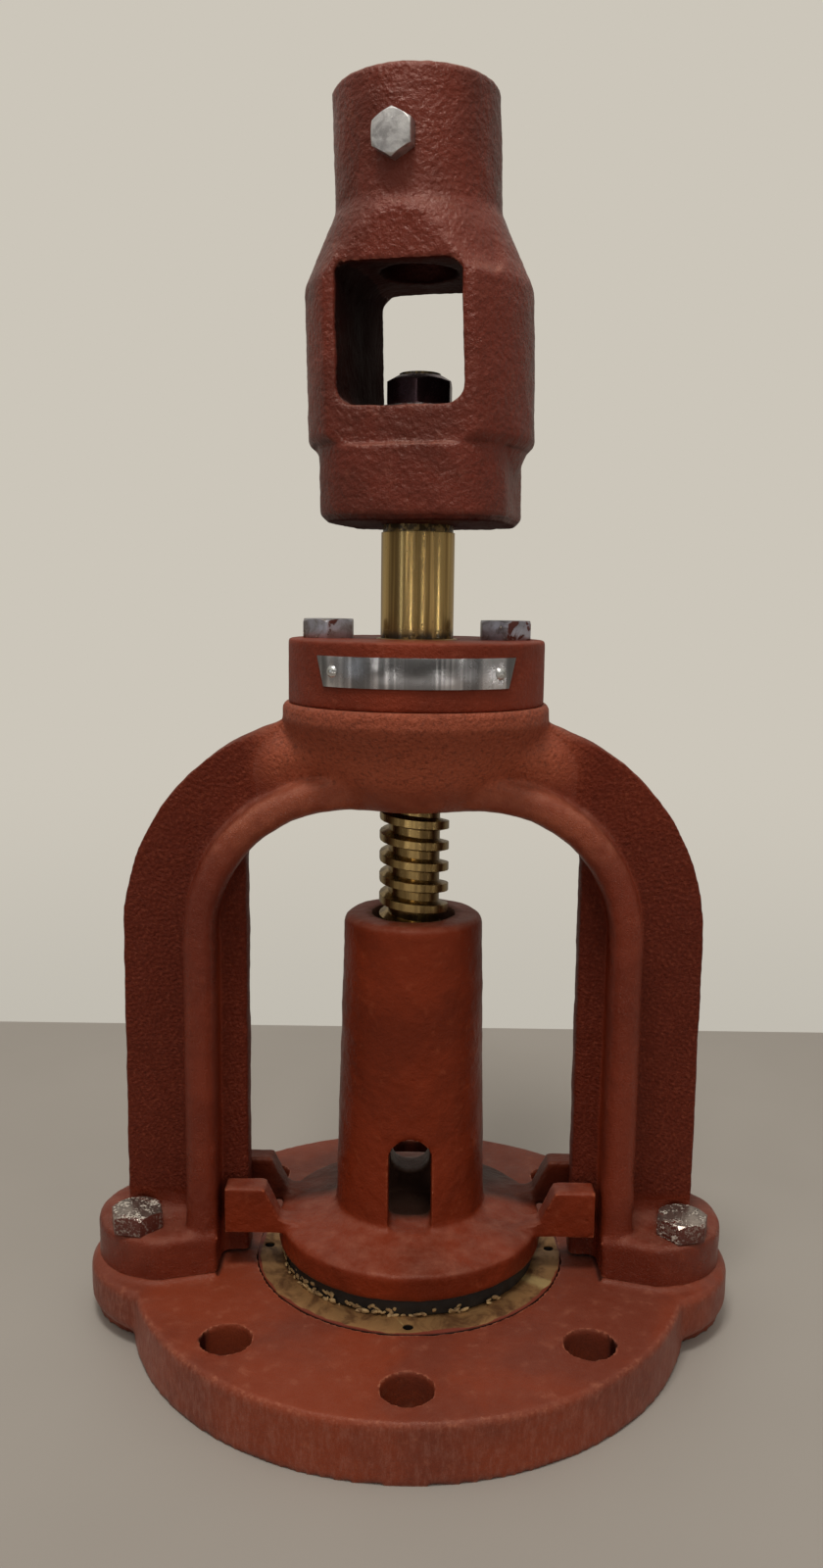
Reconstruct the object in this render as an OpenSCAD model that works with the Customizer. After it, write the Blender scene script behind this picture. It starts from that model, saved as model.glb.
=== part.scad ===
// Four inch mud valve: a plug with a rubber ring is screwed down on a bronze seat by a
// stem that turns but doesn't rise. Millimetres, +Z up, front towards -Y.
// The origin is the centre of the flange's underside, on the stem's axis.

/* [Base flange] */
// Outside diameter of the base flange
flange_d = 228.6; // [224:0.1:240]
// Thickness of the base flange
flange_t = 23; // [20:0.5:28]
// Distance of the flange bolts' circle from the rim
bolt_edge = 19.05; // [15:0.05:22]
// Diameter of each flange bolt's hole
bolt_hole_d = 19.05; // [14:0.05:20]
// Diameter of the waterway through the base and the seat ring
port_d = 101.6; // [94:0.1:104]
// Height of the side lugs' underside above the floor
lug_clear = 4.5; // [2:0.5:8]
// Radius of the round side lugs
lug_r = 42.6; // [40:0.1:44]
// How far the lugs reach out past the yoke's feet
lug_lead = 3.2; // [1:0.1:5]
// Height of the machined pads under the yoke's feet
pad_h = 1.5; // [0.5:0.1:3]

/* [Seat ring] */
// Width of the bronze seat ring's face
seat_wall = 12.7; // [11:0.1:13.5]
// Depth of the seat ring in the base
seat_depth = 12; // [8:0.5:16]
// How far the seat ring stands proud of the base
seat_proud = 0.5; // [0.2:0.1:1.2]
// Diameter of the four spanner holes in the seat ring
spanner_hole_d = 4.2; // [3:0.1:5]
// Distance of the spanner holes from the seat ring's outer edge
spanner_edge = 4.5; // [3.5:0.1:6]

/* [Yoke] */
// Half the clear width between the legs' inner flanges
leg_in = 78; // [77:0.5:80]
// Thickness of the inner flange that lines the legs and the crown
bead_t = 12.5; // [10:0.5:14]
// Depth of that inner flange from front to back
bead_depth = 48; // [46:1:54]
// Radius of the inner flange's front and back edges
bead_edge_r = 5; // [2:0.5:6]
// Half the outside width across the legs' webs
leg_out = 117; // [115:0.5:120]
// Thickness of the web from front to back
web_t = 13; // [10:0.5:14]
// Radius of the inside corners under the crown
arch_r = 52; // [44:0.5:56]
// Radius of the outside of the web's shoulders
shoulder_r = 90; // [84:1:94]
// Height of the crown's underside above the floor
crown_z = 213.8; // [211:0.1:222]
// Thickness of the guide rib on each leg
rib_t = 12; // [8:0.5:13]
// How far the guide rib stands in from the leg
rib_out = 11; // [9:0.5:12]
// Distance of a foot's round end centre from the axis
foot_x = 99.5; // [98:0.5:101]
// Radius of a foot's round end
foot_r = 30.5; // [30:0.5:32]
// Radius of the feet's upper edges
foot_edge = 3; // [1:0.5:3.5]
// Radius of the hollows between the web and the inner flange
web_cove = 5; // [2:0.5:8]
// Radius of the hollows between the guide rib and the leg
rib_cove = 4; // [1.5:0.5:5]
// How far the guide ribs climb above the arch's springing
rib_climb = 36.5; // [30:0.5:38]
// Thickness of the feet
foot_t = 16.5; // [14:0.5:18]
// Radius of the hollows between the web and the feet
foot_cove = 7; // [4:0.5:9]
// Diameter of the spot faces that the foot bolts' heads sit on
spot_d = 23.5; // [22.5:0.5:26]

/* [Hub and cap] */
// Diameter of the hub's top
hub_d = 104; // [102:0.5:110]
// Diameter of the hub's lower end
hub_low_d = 55; // [54:0.5:60]
// Height of the straight lip at the hub's top
hub_lip = 7; // [4:0.5:10]
// Height of the hub above the crown's underside
hub_h = 40.7; // [38:0.1:46]
// Diameter of the cap
cap_d = 100.5; // [97:0.5:102]
// Thickness of the cap
cap_t = 25; // [22:0.5:28]
// Outside diameter of the bush in the cap
bushing_d = 32; // [31.5:0.1:36]
// How far the bush stands out of the cap
bushing_rise = 0.2; // [0:0.1:2]
// Diameter of the stem's thrust collar
collar_d = 44; // [38:0.5:48]
// Thickness of the thrust collar
collar_t = 10; // [7:0.5:14]

/* [Bolts] */
// Diameter of the cap bolts and foot bolts
bolt_d = 12.7; // [10:0.1:13]
// Width across flats of their heads
bolt_af = 19.05; // [17:0.05:20]
// Height of their heads
bolt_head_h = 7.9; // [6:0.1:9]
// Length of the cap bolts in the hub
cap_bolt_grip = 15; // [8:0.5:16]
// Length of the foot bolts in the base
foot_bolt_grip = 14; // [8:0.5:16]
// Distance of the cap bolts from the axis
cap_bolt_x = 34.7; // [33:0.1:36]
// Distance of the foot bolts from the axis, side to side
foot_bolt_x = 111; // [109:0.5:113]
// Distance of the foot bolts from the middle of the web
foot_bolt_y = 17.5; // [17:0.5:19.5]

/* [Nameplate] */
// Height of the plate
plate_h = 11.2; // [9:0.1:14]
// Thickness of the plate
plate_t = 0.8; // [0.5:0.1:1.2]
// Width of the plate's upper edge, straight across
plate_top_w = 73; // [68:0.5:78]
// Width of the plate's lower edge, straight across
plate_low_w = 68; // [62:0.5:72]
// Drop of the plate's upper edge below the cap's top
plate_drop = 5.4; // [3:0.1:7]
// Diameter of the rivets' domed heads
rivet_head_d = 4.8; // [3.5:0.1:5.5]
// Angle of each rivet from the middle of the plate
rivet_angle = 37; // [34:0.5:38]

/* [Stem] */
// Diameter of the stem's plain length
stem_d = 28.575; // [28.2:0.025:30]
// Outside diameter of the lifting thread
thread_d = 28; // [26:0.1:28.1]
// Core diameter of the lifting thread
thread_core_d = 20.6; // [18:0.1:22]
// Rise of the lifting thread in one turn, left handed with a single start
thread_pitch = 8.467; // [7:0.001:10]
// Length of plain stem above the cap
stem_rise = 40.8; // [36:0.2:46]
// Height of the stem's lower end above the floor
stem_end_z = 98; // [90:1:106]
// Side of the square that turns the coupling on the stem
drive_w = 20.6; // [18:0.1:22]
// Diameter of the stem's threaded upper end
end_thread_d = 15.9; // [12:0.1:17]

/* [Plug] */
// How far the disc reaches past the rubber ring
disc_lip = 2.6; // [0.5:0.1:4]
// Thickness of the disc at its rim
disc_t = 10.8; // [8:0.2:13]
// How much the disc's top rises from its rim to the tube
disc_rise = 4.6; // [3:0.2:6]
// Thickness of the rubber ring under the disc
seal_t = 6.8; // [5:0.2:9]
// How far the rubber ring reaches past the waterway
seal_lap = 1.2; // [0.8:0.1:1.6]
// Width of the rubber ring
seal_wall = 10; // [6:0.5:14]
// Outside diameter of the tube at its top
tube_top_d = 56; // [54:0.5:58]
// Outside diameter of the tube at the disc
tube_low_d = 61.5; // [59:0.5:64]
// Height of the tube's top above the disc's underside
tube_h = 139; // [136:0.5:144]
// Inside diameter of the tube below its bronze nut
tube_bore_d = 31; // [30:0.5:33]
// Outside diameter of the plug's bronze nut
plug_nut_d = 33.4; // [32:0.1:36]
// Length of the bronze nut
plug_nut_h = 38; // [30:1:44]
// Depth of the nut's top below the tube's top
plug_nut_drop = 6; // [4:0.5:9]
// Width of the drain slots in the front and back of the tube
slot_w = 17; // [14:0.5:20]
// Height of the slots above the disc
slot_h = 35; // [28:1:40]
// Thickness of each guide wing
wing_t = 10.5; // [8:0.5:12]
// Gap between a wing and the guide rib
wing_gap = 2.5; // [1.5:0.1:3]
// Gap between a wing's tip and the leg
tip_gap = 2.6; // [1.5:0.1:4]
// Height of a wing's top above the disc's underside
wing_h = 27.6; // [24:0.2:32]
// Height of a wing's underside above the disc's underside
wing_low = 8.6; // [6:0.2:10]

/* [Coupling] */
// Turn of the coupling about the stem, its window facing a little to the left
coupling_turn = 14; // [0:1:25]
// Gap between the stem's shoulder and the coupling
coupling_gap = 3; // [1.5:0.5:5]
// Width across the lower block
block_w = 72; // [70:0.5:76]
// Radius of the lower block's corners
block_r = 24; // [20:0.5:28]
// Height of the lower block
block_h = 22.5; // [18:0.5:26]
// Diameter of the body round the window
body_d = 86; // [84:0.5:90]
// Width between the body's front and back flats
flats_w = 66; // [64:0.5:70]
// Height of the body from the block to the shoulder
body_h = 63; // [60:0.5:68]
// Height of the conical shoulder
shoulder_h = 27; // [24:0.5:30]
// Diameter of the upper socket
socket_d = 62; // [58:0.5:64]
// Height of the upper socket
socket_h = 43.9; // [38:0.1:46]
// Diameter of the socket's bore, which takes an extension stem
socket_bore_d = 29.2; // [28:0.1:32]
// Width of the window
window_w = 47.5; // [42:0.5:50]
// Height of the window
window_h = 52.5; // [46:0.5:54]
// Height of the window's sill above the coupling's underside
sill_h = 40.5; // [38:0.5:42]
// Radius of the rounds on the body and its shoulder
body_round = 9; // [4:0.5:12]
// Radius of the window's corners
window_r = 7; // [4:0.5:10]
// Diameter of the set bolt
set_bolt_d = 9.5; // [8:0.1:10]
// Width across flats of the set bolt's head
set_bolt_af = 14.3; // [13:0.1:17]
// Height of the set bolt's head
set_bolt_head_h = 6.2; // [5:0.1:8]
// Height of the set bolt below the socket's top
set_bolt_drop = 24.9; // [18:0.1:27]
// Turn of the set bolt from the window's middle
set_bolt_turn = 4; // [-10:1:10]
// Width across flats of the nut on the stem's end
end_nut_af = 23.8; // [20:0.1:25]
// Height of that nut
end_nut_h = 11.9; // [10:0.1:15]
// Diameter of the washer under it
washer_d = 33.3; // [30:0.5:40]
// Thickness of the washer
washer_t = 3; // [2:0.1:3.5]

/* [Hidden] */
$fn = 96;

// Named clearances
run_fit = 0.06;     // radial, a shaft that turns in its bore
screw_fit = 0.3;    // radial, the lifting thread in its nut
free_fit = 0.4;     // radial, a bolt in a plain hole, or a face that stays clear
press_fit = 0;      // a ring pressed in its seat
cut = 1;            // how far a cut runs past a face

// Diameters that follow from the sizes above
bolt_circle_d = flange_d - 2 * bolt_edge;
seat_d = port_d + 2 * seat_wall;
spanner_circle_d = seat_d - 2 * spanner_edge;
seal_d = port_d + 2 * seal_lap;
seal_in_d = seal_d - 2 * seal_wall;
disc_d = seal_d + 2 * disc_lip;

// Heights that follow from the sizes above
foot_z = flange_t + pad_h;
seat_z = flange_t + seat_proud;
disc_z = seat_z + seal_t;
tube_z = disc_z + tube_h;
spring_z = crown_z - arch_r;
hub_z = crown_z + hub_h;
cap_z = hub_z + cap_t;
plate_z = cap_z - plate_drop - plate_h;
stem_z = cap_z + stem_rise;
coupling_z = stem_z + coupling_gap;
sill_z = coupling_z + sill_h;
body_z = coupling_z + block_h;
socket_z = body_z + body_h + shoulder_h;
coupling_top_z = socket_z + socket_h;

// Widths that follow from the sizes above
arch_x = leg_in - arch_r;
shoulder_x = leg_out - shoulder_r;
shoulder_z = spring_z - 1.3;
lug_x = foot_x + foot_r + lug_lead - lug_r;
wing_in = rib_t / 2 + wing_gap;
wing_tip = leg_in - tip_gap;
red = [0.47, 0.20, 0.15];
bronze = [0.62, 0.50, 0.25];
steel = [0.62, 0.60, 0.58];

// ---- Shared forms ----

// A disc whose top edge is rounded
module round_disc(r, h, edge) {
    rotate_extrude() {
        square([r - edge, h]);
        square([r, h - edge]);
        translate([r - edge, h - edge]) intersection() {
            circle(edge);
            square(edge);
        }
    }
}

// A rectangle with round corners, from its centre
module round_rect(w, h, r) {
    square([w - 2 * r, h], center = true);
    square([w, h - 2 * r], center = true);
    for (x = [-1, 1], y = [-1, 1])
        translate([x * (w / 2 - r), y * (h / 2 - r)]) circle(r);
}

// The hollow corner between two walls that meet at the origin
module cove(r) {
    difference() {
        square(r);
        translate([r, r]) circle(r);
    }
}

// Points of an arc, counted from the +X axis
function arc(x, y, r, from, to, steps = 6) = [
    for (i = [0 : steps]) let (a = from + (to - from) * i / steps) [x + r * cos(a), y + r * sin(a)],
];

// A hexagon bolt that points down, the underside of its head at z = 0
module hex_bolt(d, af, head_h, length) {
    corner_r = af / sqrt(3);
    intersection() {
        cylinder(r = corner_r, h = head_h, $fn = 6);
        cylinder(r1 = corner_r + head_h, r2 = af / 2, h = head_h + 0.45 * af / 2 - af / 4);
    }
    translate([0, 0, -length]) cylinder(d = d, h = length);
}

// ---- Base ----

// Outline of a foot, grown or shrunk all round but for its inner end
module foot_outline(grow) {
    intersection() {
        translate([foot_x, 0]) circle(foot_r + grow);
        translate([foot_x, -2 * foot_r]) square(4 * foot_r);
    }
    polygon([
        [leg_in, -bead_depth / 2 - grow], [foot_x, -foot_r - grow],
        [foot_x, foot_r + grow], [leg_in, bead_depth / 2 + grow],
    ]);
}

// A foot with its upper edges rounded
module foot() {
    linear_extrude(foot_t) foot_outline(-foot_edge);
    linear_extrude(foot_t - foot_edge) foot_outline(0);
    intersection() {
        translate([foot_x, 0, 0]) round_disc(foot_r, foot_t, foot_edge);
        translate([foot_x, -2 * foot_r, 0]) cube(4 * foot_r);
    }
    run = foot_x - leg_in;
    spread = foot_r - bead_depth / 2;
    for (side = [0, 1]) mirror([0, side, 0])
        translate([leg_in, bead_depth / 2 - foot_edge, foot_t - foot_edge])
            rotate([0, 0, atan(spread / run)]) rotate([0, 90, 0])
                cylinder(r = foot_edge, h = norm([run, spread]));
}

// Hollows on a foot along both faces of the web
module foot_hollows() {
    from = leg_in + bead_t / 2;
    for (side = [0, 1]) mirror([0, side, 0])
        translate([from, web_t / 2, foot_t]) rotate([90, 0, 90])
            linear_extrude(leg_out - from) cove(foot_cove);
}

module at_foot_bolts() {
    for (x = [-1, 1], y = [-1, 1]) translate([x * foot_bolt_x, y * foot_bolt_y]) children();
}

module base_flange() {
    color(red) difference() {
        union() {
            round_disc(flange_d / 2, flange_t, 2);
            for (side = [0, 180]) rotate(side) {
                translate([lug_x, 0, lug_clear]) lug();
                linear_extrude(foot_z) intersection() {
                    foot_outline(1);
                    translate([lug_x, 0]) circle(lug_r - 0.5);
                }
            }
        }
        translate([0, 0, -cut]) cylinder(d = port_d, h = flange_t + 2 * cut);
        translate([0, 0, flange_t - seat_depth]) cylinder(d = seat_d, h = seat_depth + cut);
        for (a = [45, 90, 135, 225, 270, 315]) rotate(a)
            translate([bolt_circle_d / 2, 0, -cut]) cylinder(d = bolt_hole_d, h = flange_t + 2 * cut);
        translate([0, 0, foot_z - foot_bolt_grip]) at_foot_bolts()
            cylinder(d = bolt_d, h = foot_bolt_grip + cut);
    }
}

// A round lug, its lower edge well rounded and its upper edge less
module lug() {
    low_edge = 6;
    lug_t = flange_t - lug_clear;
    intersection() {
        round_disc(lug_r, lug_t, 3);
        translate([0, 0, lug_t]) mirror([0, 0, 1]) round_disc(lug_r, lug_t, low_edge);
    }
}

module seat_ring() {
    color(bronze) difference() {
        translate([0, 0, flange_t - seat_depth]) cylinder(d = seat_d - press_fit, h = seat_depth + seat_proud);
        translate([0, 0, -cut]) cylinder(d = port_d, h = flange_t + 3 * cut);
        for (a = [0 : 90 : 270]) rotate(a)
            translate([spanner_circle_d / 2, 0, flange_t - seat_depth / 2]) cylinder(d = spanner_hole_d, h = seat_depth);
    }
}

// ---- Yoke ----

// Section of the inner flange: x is its thickness, y its depth, with the hollows to the web
module bead_section() {
    translate([bead_t / 2, 0]) round_rect(bead_t, bead_depth, bead_edge_r);
    for (side = [0, 1]) mirror([0, side]) translate([bead_t, web_t / 2]) cove(web_cove);
}

// Section of the guide rib inside the leg, with its hollows to the leg
module rib_section() {
    rib_edge = 2;
    translate([bead_t / 2 - rib_out, 0]) translate([rib_out / 2, 0])
        round_rect(rib_out + bead_t, rib_t, rib_edge);
    for (side = [0, 1]) mirror([0, side]) translate([0, rib_t / 2]) mirror([1, 0]) cove(rib_cove);
}

// Inner flange: two legs, two quarter bends and the crown
module bead() {
    for (side = [0, 1]) mirror([side, 0, 0]) {
        translate([leg_in, 0, foot_z]) linear_extrude(spring_z - foot_z) bead_section();
        translate([leg_in, 0, foot_z]) linear_extrude(spring_z - foot_z) rib_section();
        translate([arch_x, 0, spring_z]) rotate([90, 0, 0]) rotate_extrude(angle = 90)
            translate([arch_r, 0]) bead_section();
    }
    translate([-arch_x, 0, crown_z]) rotate([0, 90, 0]) linear_extrude(2 * arch_x)
        rotate(180) bead_section();
}

// Outline of the web, seen from the front
module web_outline() {
    difference() {
        union() {
            for (x = [-shoulder_x, shoulder_x]) translate([x, shoulder_z]) circle(shoulder_r);
            translate([-shoulder_x, shoulder_z]) square([2 * shoulder_x, shoulder_r]);
            translate([-leg_out, foot_z]) square([2 * leg_out, shoulder_z - foot_z]);
        }
        translate([-leg_in - bead_t / 2, 0]) square([2 * leg_in + bead_t, spring_z]);
        for (x = [-arch_x, arch_x]) translate([x, spring_z]) circle(arch_r + bead_t / 2);
        translate([-arch_x, spring_z]) square([2 * arch_x, arch_r + bead_t / 2]);
        translate([-leg_out - cut, -shoulder_r]) square([2 * (leg_out + cut), foot_z + shoulder_r]);
    }
}

// Radius of the hub's bowl at a height between 0, its lower end, and 1, its lip
function bowl_r(t) = hub_low_d / 2 + (hub_d - hub_low_d) / 4 * (1 - cos(180 * t));

// The hub tapers like a bowl to the crown
module hub() {
    steps = 10;
    bowl_h = hub_h - hub_lip;
    wall = [for (i = [0 : steps]) [bowl_r(i / steps), bowl_h * i / steps]];
    translate([0, 0, crown_z]) rotate_extrude()
        polygon(concat([[0, 0]], wall, [[hub_d / 2, hub_h], [0, hub_h]]));
}

module yoke() {
    color(red) difference() {
        union() {
            bead();
            translate([0, web_t / 2, 0]) rotate([90, 0, 0]) linear_extrude(web_t) web_outline();
            hub();
            for (side = [0, 180]) rotate(side) {
                translate([0, 0, foot_z]) {
                    foot();
                    foot_hollows();
                }
                translate([leg_in, 0, spring_z - cut]) linear_extrude(rib_climb + cut) intersection() {
                    rib_section();
                    translate([-rib_out, -rib_t / 2]) square([rib_out + cut, rib_t]);
                }
            }
        }
        translate([0, 0, crown_z - cut]) cylinder(d = stem_d + 2 * run_fit, h = hub_h + 2 * cut);
        translate([0, 0, hub_z - collar_t]) cylinder(d = collar_d + 2 * free_fit, h = collar_t + cut);
        translate([0, 0, hub_z]) cylinder(d = 3 * hub_d, h = shoulder_r);
        at_foot_bolts() {
            translate([0, 0, foot_z - cut]) cylinder(d = bolt_d + 2 * free_fit, h = foot_t + 2 * cut);
            translate([0, 0, foot_z + foot_t]) cylinder(d = spot_d, h = foot_cove + cut);
        }
        for (x = [-cap_bolt_x, cap_bolt_x])
            translate([x, 0, hub_z - cap_bolt_grip]) cylinder(d = bolt_d, h = cap_bolt_grip + cut);
    }
}

// ---- Cap, plate and bolts ----

module stem_cap() {
    color(red) difference() {
        translate([0, 0, hub_z]) round_disc(cap_d / 2, cap_t, 1);
        translate([0, 0, hub_z - cut]) cylinder(d = bushing_d, h = cap_t + 2 * cut);
        for (x = [-cap_bolt_x, cap_bolt_x])
            translate([x, 0, hub_z - cut]) cylinder(d = bolt_d + 2 * free_fit, h = cap_t + 2 * cut);
        for (side = [-1, 1]) rotate([0, 0, side * rivet_angle - 90]) rivet_hole();
    }
}

// The bush in which the stem turns, about level with the cap's top
module cap_bushing() {
    color(bronze) translate([0, 0, hub_z]) difference() {
        round_disc(bushing_d / 2, cap_t + bushing_rise, 0.6);
        translate([0, 0, -cut]) cylinder(d = stem_d + 2 * run_fit, h = cap_t + bushing_rise + 2 * cut);
    }
}

module rivet_hole() {
    translate([cap_d / 2 - 8, 0, plate_z + plate_h / 2]) rotate([0, 90, 0]) cylinder(d = 2.4, h = 8 + cut);
}

module nameplate() {
    color([0.75, 0.75, 0.77]) difference() {
        intersection() {
            translate([0, 0, plate_z]) cylinder(d = cap_d + 2 * plate_t, h = plate_h);
            rotate([90, 0, 0]) linear_extrude(cap_d) polygon([
                [-plate_low_w / 2, plate_z], [plate_low_w / 2, plate_z],
                [plate_top_w / 2, plate_z + plate_h], [-plate_top_w / 2, plate_z + plate_h],
            ]);
        }
        translate([0, 0, plate_z - cut]) cylinder(d = cap_d, h = plate_h + 2 * cut);
        for (side = [-1, 1]) rotate([0, 0, side * rivet_angle - 90]) rivet_hole();
    }
}

// A drive rivet through the plate, its dome outside
module nameplate_rivet(side) {
    head_h = 1.5;
    sphere_r = (rivet_head_d * rivet_head_d / 4 + head_h * head_h) / (2 * head_h);
    color(steel) rotate([0, 0, side * rivet_angle - 90])
        translate([cap_d / 2 + plate_t, 0, plate_z + plate_h / 2]) rotate([0, 90, 0]) {
            intersection() {
                translate([0, 0, head_h - sphere_r]) sphere(sphere_r);
                cylinder(d = rivet_head_d, h = head_h);
            }
            translate([0, 0, -7]) cylinder(d = 2.4, h = 7);
        }
}

module cap_bolt(side) {
    color(steel) translate([side * cap_bolt_x, 0, cap_z]) rotate(30 * side)
        hex_bolt(bolt_d, bolt_af, bolt_head_h, cap_t + cap_bolt_grip);
}

module foot_bolt(side, row) {
    color(steel) translate([side * foot_bolt_x, row * foot_bolt_y, foot_z + foot_t]) rotate(12 * side)
        hex_bolt(bolt_d, bolt_af, bolt_head_h, foot_t + foot_bolt_grip);
}

// ---- Stem ----

neck_d = stem_d - 1.2;
thread_seg = 24;
thread_from = stem_end_z + 5.86;
thread_to = crown_z + 4;
thread_turns = floor((thread_to - thread_from) / thread_pitch);
thread_steps = thread_turns * thread_seg;

// Section of the thread's ridge: radius and height from its middle
ridge = [
    [thread_core_d / 2 - 0.6, -0.33 * thread_pitch], [thread_d / 2, -0.185 * thread_pitch],
    [thread_d / 2, 0.185 * thread_pitch], [thread_core_d / 2 - 0.6, 0.33 * thread_pitch],
];

// One ring of the ridge; a left-hand thread turns clockwise as it climbs
function ridge_ring(i) = [
    for (p = ridge) let (a = -360 * i / thread_seg)
        [p[0] * cos(a), p[0] * sin(a), thread_from + thread_pitch * i / thread_seg + p[1]],
];

module thread_ridge() {
    rings = [for (i = [0 : thread_steps]) each ridge_ring(i)];
    walls = [for (i = [0 : thread_steps - 1], k = [0 : 3])
        [4 * i + k, 4 * i + 4 + k, 4 * i + 4 + (k + 1) % 4, 4 * i + (k + 1) % 4]];
    last = 4 * thread_steps;
    polyhedron(rings, concat(walls, [[3, 2, 1, 0], [last, last + 1, last + 2, last + 3]]));
}

module stem() {
    color(bronze) {
        translate([0, 0, crown_z + 6]) cylinder(d = stem_d, h = stem_z - crown_z - 6);
        translate([0, 0, hub_z - collar_t]) cylinder(d = collar_d, h = collar_t - free_fit);
        translate([0, 0, stem_end_z]) cylinder(d = thread_core_d, h = crown_z + 8 - stem_end_z);
        thread_ridge();
        translate([0, 0, stem_z - cut]) cylinder(d = neck_d, h = coupling_gap + cut);
        rotate(-coupling_turn) translate([0, 0, coupling_z - cut]) intersection() {
            translate([-drive_w / 2, -drive_w / 2, 0]) cube([drive_w, drive_w, sill_h]);
            cylinder(d = neck_d - 0.5, h = sill_h + cut);
        }
        translate([0, 0, sill_z - 2 * cut]) cylinder(d = end_thread_d, h = 3 * cut + washer_t + end_nut_h);
    }
}

// ---- Coupling ----

module coupling() {
    color(red) rotate(-coupling_turn) difference() {
        union() {
            translate([0, 0, coupling_z]) coupling_block();
            intersection() {
                coupling_body();
                translate([-body_d, -flats_w / 2, coupling_z])
                    cube([2 * body_d, flats_w, coupling_top_z - coupling_z]);
            }
        }
        coupling_bores();
    }
}

// Half outline of the coupling above its block, turned about the stem's axis
module coupling_body() {
    low_edge = 6;
    top_edge = 2.5;
    slope = atan(shoulder_h / (body_d / 2 - socket_d / 2));
    turn = 90 - slope;
    step = body_round * tan(turn / 2);
    rotate_extrude() polygon(concat(
        [[0, body_z - low_edge], [body_d / 2 - low_edge, body_z - low_edge]],
        arc(body_d / 2 - low_edge, body_z + low_edge, low_edge, -60, 0),
        arc(body_d / 2 - body_round, body_z + body_h - step, body_round, 0, turn),
        arc(socket_d / 2 + body_round, socket_z + step, body_round, 180 + turn, 180),
        arc(socket_d / 2 - top_edge, coupling_top_z - top_edge, top_edge, 0, 90),
        [[0, coupling_top_z]]
    ));
}

// The square block under it, its lower edge rounded by a chamfer
module coupling_block() {
    edge = 2;
    linear_extrude(edge) round_rect(block_w - 2 * edge, block_w - 2 * edge, block_r - edge);
    translate([0, 0, edge]) linear_extrude(block_h - edge) round_rect(block_w, block_w, block_r);
}

module coupling_bores() {
    translate([0, body_d / 2, sill_z + window_h / 2]) rotate([90, 0, 0]) linear_extrude(body_d)
        round_rect(window_w, window_h, window_r);
    translate([0, 0, sill_z + window_h - cut]) cylinder(d = socket_bore_d, h = coupling_top_z - sill_z);
    translate([-drive_w / 2 - 0.1, -drive_w / 2 - 0.1, coupling_z - cut])
        cube([drive_w + 0.2, drive_w + 0.2, sill_h + 2 * cut]);
    rotate(-set_bolt_turn) translate([0, 0, coupling_top_z - set_bolt_drop]) rotate([90, 0, 0])
        cylinder(d = set_bolt_d, h = socket_d);
}

module coupling_set_bolt() {
    tip = (socket_bore_d / 2 + socket_d / 2) / 2;
    color(steel) rotate(-coupling_turn - set_bolt_turn)
        translate([0, -socket_d / 2, coupling_top_z - set_bolt_drop]) rotate([90, 0, 0])
            rotate(30) hex_bolt(set_bolt_d, set_bolt_af, set_bolt_head_h, socket_d / 2 - tip + 6);
}

module stem_end_washer() {
    color(steel) translate([0, 0, sill_z]) difference() {
        cylinder(d = washer_d, h = washer_t);
        translate([0, 0, -cut]) cylinder(d = end_thread_d + 0.8, h = washer_t + 2 * cut);
    }
}

module stem_end_nut() {
    top_r = end_thread_d / 2 + 1;
    color([0.2, 0.15, 0.14]) translate([0, 0, sill_z + washer_t]) rotate(25) difference() {
        intersection() {
            cylinder(r = end_nut_af / sqrt(3), h = end_nut_h, $fn = 6);
            cylinder(r1 = end_nut_af / 2 + 0.5, r2 = end_nut_af / 2 + end_nut_h, h = end_nut_h);
            cylinder(r1 = top_r + end_nut_h / tan(30), r2 = top_r, h = end_nut_h);
        }
        translate([0, 0, -cut]) cylinder(d = end_thread_d, h = end_nut_h + 2 * cut);
    }
}

// ---- Plug ----

// Side view of a wing: a flat-topped block that slopes down to the disc
module wing_outline() {
    polygon([
        [disc_d / 2 - 16, wing_low], [wing_tip, wing_low], [wing_tip, wing_h],
        [wing_tip - 16, wing_h], [disc_d / 2 - 2, disc_t + 3], [disc_d / 2 - 16, disc_t + 1],
    ]);
}

module plug_body() {
    edge = 1.5;
    top_edge = 3.5;
    foot_cove = 3;
    rim_r = disc_d / 2;
    rotate_extrude() polygon(concat(
        [[0, 0]],
        arc(rim_r - edge, edge, edge, -90, 0, 3),
        arc(rim_r - edge, disc_t - edge, edge, 0, 80, 3),
        arc(tube_low_d / 2 + foot_cove, disc_t + disc_rise + foot_cove, foot_cove, 260, 180, 4),
        arc(tube_top_d / 2 - top_edge, tube_h - top_edge, top_edge, 0, 90, 5),
        [[0, tube_h]]
    ));
    for (side = [0, 180], y = [-wing_in, wing_in + wing_t])
        rotate(side) translate([0, y, 0]) rotate([90, 0, 0]) linear_extrude(wing_t) wing_outline();
}

// A slot with a round top, from its foot to the middle of that round
module drain_slot(low, top) {
    translate([-slot_w / 2, low]) square([slot_w, top - low]);
    translate([0, top]) circle(d = slot_w);
}

module plug() {
    slot_z = disc_t + disc_rise;
    back_sill = 3.4;
    slot_top = slot_z + back_sill + slot_h - slot_w / 2;
    color(red) translate([0, 0, disc_z]) difference() {
        plug_body();
        translate([0, 0, disc_t]) cylinder(d = tube_bore_d, h = tube_h);
        translate([0, 0, tube_h - plug_nut_drop - plug_nut_h]) cylinder(d = plug_nut_d, h = tube_h);
        rotate([90, 0, 0]) linear_extrude(tube_low_d) drain_slot(slot_z + 0.6, slot_top);
        rotate([90, 0, 180]) linear_extrude(tube_low_d) {
            drain_slot(slot_z + back_sill + slot_w / 2, slot_top);
            translate([0, slot_z + back_sill + slot_w / 2]) circle(d = slot_w);
        }
    }
}

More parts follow.
